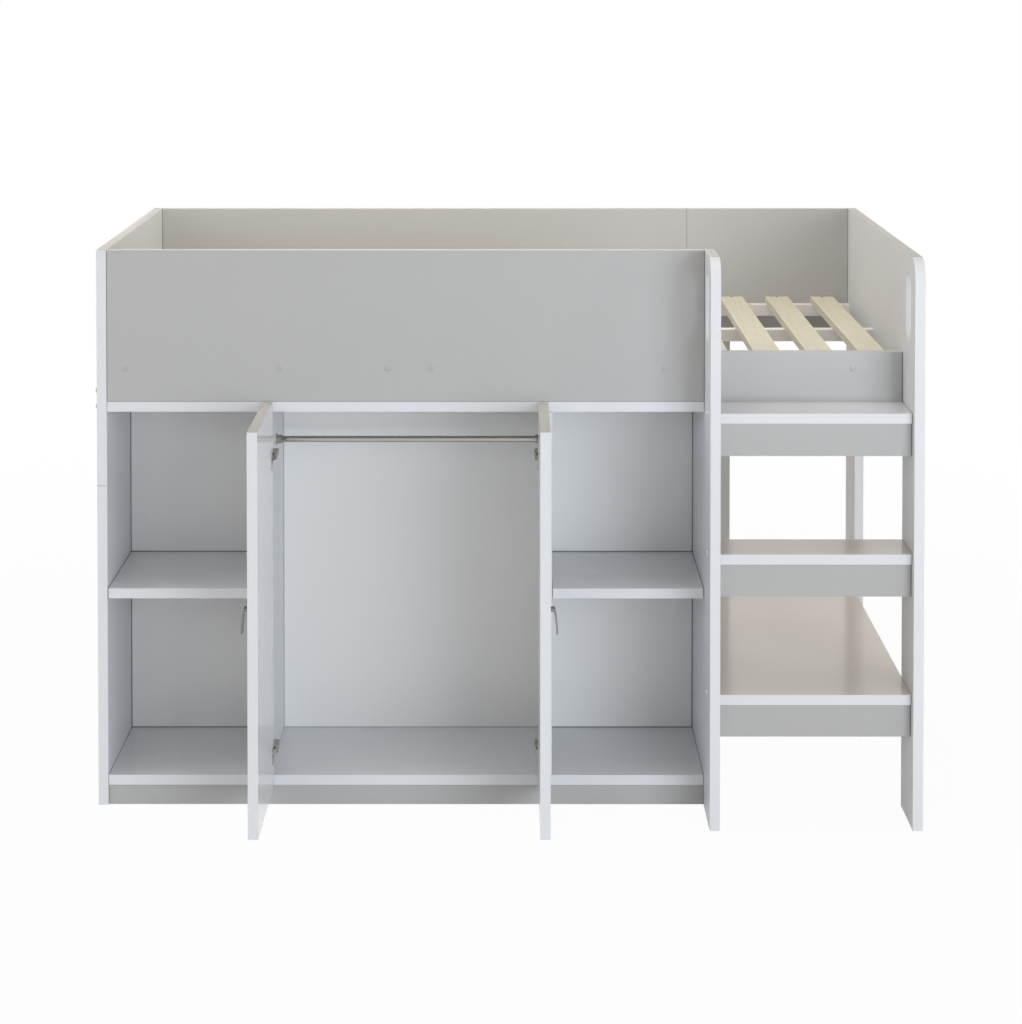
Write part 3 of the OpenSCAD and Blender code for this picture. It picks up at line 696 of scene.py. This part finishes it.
class LOFTBED_OT_boards(bpy.types.Operator):
    """Cover the white and grey boards and the back sheets with foil"""

    bl_idname = "loftbed.boards"
    bl_label = "Boards"

    def execute(self, context):
        s = context.scene.loft_bed_finish
        foil = group_named("foil_surface", foil_group)
        # The group that paints shade along the joints
        joints = group_named("board_joints", joint_shade_group)
        # The group that gives a top face another tone; on the lower treads it paints warm light
        edging = group_named("top_edging", top_tone_and_warmth_group)
        on_colour = {"Colour": "Base Color"}
        on_both = {"Colour": "Base Color", "Roughness": "Roughness"}
        # The painted shade along the joints: its colour and its width
        lines = {"Joint": rgba(s.joint), "Width": s.joint_shade_width}
        for boards, foil_colour, top_colour, ending, cloud, extra in (
                (WHITE_BOARDS, s.white, s.white_top_tone, "_white_foil", WHITE_CLOUD, 0.0),
                (GREY_BOARDS, s.grey, s.grey_top_tone, "_grey_foil", GREY_CLOUD,
                 EXTRA_ROUGHNESS)):
            for name, (ends, depth) in boards.items():
                rough = s.panel_gloss if name in MATT_BOARDS else s.board_gloss + extra
                material = finish(name + ending, foil,
                                  {"Colour": rgba(foil_colour), "Roughness": rough,
                                   "Cloud": cloud}, s.foil_ripple)
                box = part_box(name)
                top = box[1].z - TOP_SKIN
                # Paints shade along the sides where the board butts against another
                if ends:
                    inner = box[1].x - SIDE_SKIN if name.startswith("left_end") else FAR
                    low = [box[0][i] if "xyz"[i] in ends else -FAR for i in range(3)]
                    high = [box[1][i] if "XYZ"[i] in ends else FAR for i in range(3)]
                    put_between(material, joints, on_colour,
                                dict(lines, Low=low, High=high, Depth=depth,
                                     Limit=(inner, FAR, FAR)))
                if name in TOP_TONED:
                    put_between(material, edging, on_both,
                                {"Edging": rgba(top_colour), "Top": top})
                # Paints a warm tone on the lower treads' top faces, standing in for warm
                # reflected light
                if name in PAINTED_WARM_TREADS:
                    put_between(material, edging, on_colour,
                                {"Edging": rgba(s.tread_top_warm_light), "Top": top})
                coat((name,), material)
        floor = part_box("cabinet_bottom")[1].z
        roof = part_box("cabinet_top")[0].z
        # Paints shade on the sheets' front faces along the boards, floor, roof and shelf around
        # them
        lines["Width"] = s.joint_shade_width * SHEET_SHADE_LINE
        lines["Limit"] = (FAR, middle(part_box("left_back")).y, FAR)
        for name, (left, right, shelf, depth) in BACK_SHEETS.items():
            material = finish(name + "_foil", foil,
                              {"Colour": rgba(s.sheet), "Cloud": SHEET_CLOUD,
                               "Roughness": s.board_gloss + EXTRA_ROUGHNESS},
                              s.foil_ripple * SHEET_RIPPLE)
            put_between(material, joints, on_colour,
                        dict(lines, Low=(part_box(left)[1].x, -FAR, floor),
                             High=(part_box(right)[0].x, FAR, roof), Depth=depth))
            if shelf:
                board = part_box(shelf)
                put_between(material, joints, on_colour,
                            dict(lines, Low=(-FAR, -FAR, board[0].z),
                                 High=(FAR, FAR, board[1].z), Depth=depth))
            coat((name,), material)
        return {"FINISHED"}


class LOFTBED_OT_base(bpy.types.Operator):
    """Finish the pine slats and the painted rails that carry them"""

    bl_idname = "loftbed.base"
    bl_label = "Slatted base"

    def execute(self, context):
        s = context.scene.loft_bed_finish
        boxes = islands("slats")
        pitch = (middle(boxes[-1]).x - middle(boxes[0]).x) / (len(boxes) - 1)
        pine = finish("planed_pine", group_named("pine_grain", grain_group),
                      {"Light": rgba(s.pine), "Dark": rgba(s.pine_dark), "Pitch": pitch},
                      GRAIN_DEPTH, **{"Specular IOR Level": PINE_SHINE})
        paint = finish("rail_paint", group_named("foil_surface", foil_group),
                       {"Colour": rgba(s.rail_paint), "Roughness": PAINT_ROUGHNESS,
                        "Cloud": PAINT_CLOUD}, s.foil_ripple * RAIL_RIPPLE)
        coat(("slats",), pine)
        coat(RAILS, paint)
        return {"FINISHED"}


class LOFTBED_OT_metal(bpy.types.Operator):
    """Finish the hinges, the handles, the pins and the hanging rail"""

    bl_idname = "loftbed.metal"
    bl_label = "Metal parts"

    def execute(self, context):
        s = context.scene.loft_bed_finish
        plated = group_named("plated_metal", metal_group)
        made = {name: finish(name, plated,
                             {"Colour": rgba(getattr(s, tone)), "Roughness": rough,
                              "Lines": lines}, depth, Metallic=1.0)
                for name, (tone, rough, lines, depth) in METALS.items()}
        coat(HINGE_PARTS + ("shelf_pins",), made["nickel_plate"])
        coat(("left_handle", "right_handle"), made["satin_steel"])
        coat(("hanging_rail", "rail_sockets"), made["rail_chrome"])
        return {"FINISHED"}


class LOFTBED_OT_bolts(bpy.types.Operator):
    """Make the bolt heads with their six-sided sockets"""

    bl_idname = "loftbed.bolts"
    bl_label = "Bolt heads"

    def execute(self, context):
        s = context.scene.loft_bed_finish
        f = context.scene.loft_bed_fittings
        paint = finish("bolt_paint", group_named("foil_surface", foil_group),
                       {"Colour": rgba(s.white), "Roughness": BOLT_PAINT_ROUGHNESS,
                        "Cloud": 0.0}, s.foil_ripple)
        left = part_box("left_end_lower")[0].x
        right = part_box("right_end_panel")[1].x
        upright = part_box("middle_upright")[0].x
        ends = []
        painted = []
        for box in islands("frame_bolts"):
            c = middle(box)
            if abs(box[0].x - left) < BOLT_REACH:
                ends.append((Vector((left, c.y, c.z)), (-1, 0, 0), LEFT_TURN + c.z))
            elif abs(box[1].x - right) < BOLT_REACH:
                ends.append((Vector((right, c.y, c.z)), (1, 0, 0), RIGHT_TURN + c.z))
            else:
                painted.append((Vector((upright, c.y, c.z)), (-1, 0, 0), UPRIGHT_TURN + c.z))
        if not ends or not painted:
            raise RuntimeError("the bolts were not found")
        head = (f.bolt_radius, f.bolt_rise, f.ring_segments)
        new_piece("painted_bolt_heads", stamp(socket_head(*head), painted), paint, "frame")
        piece = new_piece("bolt_heads", stamp(socket_head(*head), ends),
                          bpy.data.materials["nickel_plate"], "frame")
        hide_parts("frame_bolts")
        return {"FINISHED"}


class LOFTBED_OT_caps(bpy.types.Operator):
    """Make the grey caps over the screws of the front rails"""

    bl_idname = "loftbed.caps"
    bl_label = "Screw caps"

    def execute(self, context):
        s = context.scene.loft_bed_finish
        plastic = finish("cap_plastic", group_named("foil_surface", foil_group),
                         {"Colour": rgba([v * CAP_TONE for v in s.grey]),
                          "Roughness": CAP_ROUGHNESS, "Cloud": 0.0}, s.foil_ripple)
        boxes = islands("cover_caps")
        low, high = boxes[-1]
        places = [(Vector((middle(box).x, box[1].y, middle(box).z)), (0, -1, 0), 0.0)
                  for box in boxes]
        head = dome_head((high.x - low.x) / 2 * CAP_WIDTH, (high.y - low.y) * CAP_HEIGHT,
                         context.scene.loft_bed_fittings.ring_segments)
        piece = new_piece("screw_caps", stamp(head, places), plastic, "frame")
        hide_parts("cover_caps")
        return {"FINISHED"}


class LOFTBED_OT_screws(bpy.types.Operator):
    """Make the screws of the hinges and the slats"""

    bl_idname = "loftbed.screws"
    bl_label = "Screws"

    def execute(self, context):
        f = context.scene.loft_bed_fittings
        nickel = bpy.data.materials["nickel_plate"]
        r = f.screw_radius
        rise = r * SCREW_RISE
        fixed = []
        cups = {}
        for side, sign in (("left", 1), ("right", -1)):
            for box in islands(side + "_hinge_plates"):
                x = face_of(box, -sign) + PLATE_SHEET * sign
                y = middle(box).y + PLATE_SCREW_SHIFT
                for z in (box[0].z + PLATE_SCREW_INSET, box[1].z - PLATE_SCREW_INSET):
                    fixed.append((Vector((x, y, z)), (sign, 0, 0), PLATE_TURN + z))
            for box in islands(side + "_hinge_arms"):
                for part, turn in ARM_SCREWS:
                    y = box[0].y + (box[1].y - box[0].y) * part
                    fixed.append((Vector((face_of(box, sign), y, middle(box).z)),
                                  (sign, 0, 0), turn))
            cups[side] = []
            for box in islands(side + "_cups"):
                for z in (box[0].z + CUP_SCREW_INSET, box[1].z - CUP_SCREW_INSET):
                    cups[side].append((Vector((face_of(box, sign), box[0].y + CUP_SCREW_BACK, z)),
                                       (sign, 0, 0), CUP_TURN + z))
        new_piece("hinge_plate_screws", stamp(cross_head(r, rise), fixed), nickel, "frame")
        for side, places in cups.items():
            new_piece(side + "_cup_screws", stamp(cross_head(r * CUP_SCREW_SIZE, rise), places),
                      nickel, side + "_leaf")
        slats = []
        for box in islands("slats"):
            x = middle(box).x
            y = box[1].y - f.slat_screw_inset
            slats.append((Vector((x, y, box[1].z)), (0, 0, 1), x * SLAT_TURN + y))
        new_piece("slat_screws",
                  stamp(cross_head(r * SLAT_SCREW_SIZE, rise * SLAT_SCREW_RISE), slats),
                  bpy.data.materials["dark_zinc"], "frame")
        return {"FINISHED"}


class LOFTBED_OT_nails(bpy.types.Operator):
    """Make the nails that hold the back sheets"""

    bl_idname = "loftbed.nails"
    bl_label = "Back nails"

    def execute(self, context):
        f = context.scene.loft_bed_fittings
        places = []
        for name in BACK_SHEETS:
            low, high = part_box(name)
            wide = high.x - low.x
            tall = high.z - low.z
            up = max(2, round(tall / f.nail_pitch))
            for i in range(up + 1):
                z = low.z + NAIL_INSET + (tall - 2 * NAIL_INSET) * i / up
                for x in (low.x + NAIL_INSET, high.x - NAIL_INSET):
                    places.append((Vector((x, high.y, z)), (0, 1, 0), 0.0))
            across = max(2, round(wide / f.nail_pitch))
            for i in range(1, across):
                x = low.x + NAIL_INSET + (wide - 2 * NAIL_INSET) * i / across
                for z in (low.z + NAIL_INSET, high.z - NAIL_INSET):
                    places.append((Vector((x, high.y, z)), (0, 1, 0), 0.0))
        head = dome_head(f.nail_radius, f.nail_radius * NAIL_RISE, NAIL_SIDES)
        new_piece("back_nails", stamp(head, places), bpy.data.materials["nickel_plate"], "frame")
        return {"FINISHED"}


class LOFTBED_OT_stage(bpy.types.Operator):
    """Set the floor, the lamps and the camera"""

    bl_idname = "loftbed.stage"
    bl_label = "Studio"

    def execute(self, context):
        s = context.scene.loft_bed_stage
        context.scene.view_settings.view_transform = "Standard"
        self.set_floor(s)
        self.set_room(context.scene, s)
        for name, (place, aim, size, tint, spread) in LAMPS.items():
            light = bpy.data.lights.new(name, "AREA")
            light.shape = "RECTANGLE"
            light.size, light.size_y = size
            light.energy = getattr(s, name)
            light.color = tint
            light.spread = spread
            look = (Vector(aim) - Vector(place)).to_track_quat("-Z", "Y")
            self.put(name, light, place, look.to_euler())
        camera = bpy.data.cameras.new("camera")
        camera.sensor_fit = "HORIZONTAL"
        camera.sensor_width = 36.0
        camera.lens = s.focal
        camera.shift_x = s.shift_side
        camera.shift_y = s.shift_up
        context.scene.camera = self.put("camera", camera, s.camera_place,
                                        (math.pi / 2 - s.tilt, 0.0, s.turn))
        return {"FINISHED"}

    def put(self, name, data, place, turn):
        """Puts a lamp or the camera in its place."""
        holder = bpy.data.objects.new(name, data)
        holder.location = place
        holder.rotation_euler = turn
        bpy.context.scene.collection.objects.link(holder)
        return holder

    def set_floor(self, s):
        """A floor that keeps the shadow and looks white farther away."""
        floor = bpy.data.materials.new("studio_floor")
        floor.use_nodes = True
        tree = floor.node_tree
        tree.nodes.clear()
        out = add_node(tree, "ShaderNodeOutputMaterial")
        matt = add_node(tree, "ShaderNodeBsdfDiffuse")
        feed(tree, matt.inputs["Color"], rgba(s.floor))
        glow = add_node(tree, "ShaderNodeEmission")
        place = add_node(tree, "ShaderNodeTexCoord")
        away = add_node(tree, "ShaderNodeVectorMath", operation="LENGTH")
        feed(tree, away.inputs[0], place.outputs["Object"])
        white = remap(tree, away.outputs["Value"], low=s.page, high=1.0, lowest=GLOW_FROM,
                      highest=GLOW_TO, kind="SMOOTHSTEP")
        mix = add_node(tree, "ShaderNodeMixShader")
        feed(tree, mix.inputs[0], maths(tree, "MULTIPLY", white, seen_rays(tree)))
        feed(tree, mix.inputs[1], matt.outputs[0])
        feed(tree, mix.inputs[2], glow.outputs[0])
        feed(tree, out.inputs["Surface"], mix.outputs[0])
        bm = bmesh.new()
        bmesh.ops.create_grid(bm, x_segments=1, y_segments=1, size=FLOOR_HALF)
        mesh = bpy.data.meshes.new("studio_floor")
        bm.to_mesh(mesh)
        bm.free()
        mesh.materials.append(floor)
        ground = bpy.data.objects.new("studio_floor", mesh)
        bpy.context.scene.collection.objects.link(ground)

    def set_room(self, scene, s):
        """An even warm light, and a white page for the rays that look at the backdrop."""
        scene.world = bpy.data.worlds.new("studio_world")
        scene.world.use_nodes = True
        tree = scene.world.node_tree
        tree.nodes.clear()
        out = add_node(tree, "ShaderNodeOutputWorld")
        mix = add_node(tree, "ShaderNodeMixShader")
        feed(tree, mix.inputs[0], seen_rays(tree))
        for i, (tint, strength) in enumerate(((s.room_tint, s.room), (PLAIN, 1.0)), start=1):
            light = add_node(tree, "ShaderNodeBackground")
            feed(tree, light.inputs["Color"], rgba(tint))
            feed(tree, light.inputs["Strength"], strength)
            feed(tree, mix.inputs[i], light.outputs[0])
        feed(tree, out.inputs["Surface"], mix.outputs[0])


class LOFTBED_PT_panel(bpy.types.Panel):
    """Lists the steps that finish the loft bed"""

    bl_label = "Loft bed"
    bl_idname = "LOFTBED_PT_panel"
    bl_space_type = "VIEW_3D"
    bl_region_type = "UI"
    bl_category = "Loft bed"

    def draw(self, context):
        for step in STEPS:
            self.layout.operator(step.bl_idname)
        for name, _ in SETTINGS:
            settings = getattr(context.scene, name)
            box = self.layout.box()
            for key in settings.bl_rna.properties.keys():
                if key not in {"rna_type", "name"}:
                    box.prop(settings, key)


STEPS = (
    LOFTBED_OT_boards,
    LOFTBED_OT_base,
    LOFTBED_OT_metal,
    LOFTBED_OT_bolts,
    LOFTBED_OT_caps,
    LOFTBED_OT_screws,
    LOFTBED_OT_nails,
    LOFTBED_OT_stage,
)
SETTINGS = (
    ("loft_bed_finish", LoftBedFinishSettings),
    ("loft_bed_fittings", LoftBedFittingSettings),
    ("loft_bed_stage", LoftBedStageSettings),
)


def register():
    """Registers the settings, the operators and the panel."""
    for name, settings in SETTINGS:
        bpy.utils.register_class(settings)
        setattr(bpy.types.Scene, name, PointerProperty(type=settings))
    for step in STEPS:
        bpy.utils.register_class(step)
    bpy.utils.register_class(LOFTBED_PT_panel)


def unregister():
    """Takes them out again."""
    bpy.utils.unregister_class(LOFTBED_PT_panel)
    for step in reversed(STEPS):
        bpy.utils.unregister_class(step)
    for name, settings in reversed(SETTINGS):
        delattr(bpy.types.Scene, name)
        bpy.utils.unregister_class(settings)


def main():
    """Runs every step in order."""
    register()
    for step in STEPS:
        family, action = step.bl_idname.split(".")
        getattr(getattr(bpy.ops, family), action)()


if __name__ == "__main__":
    main()
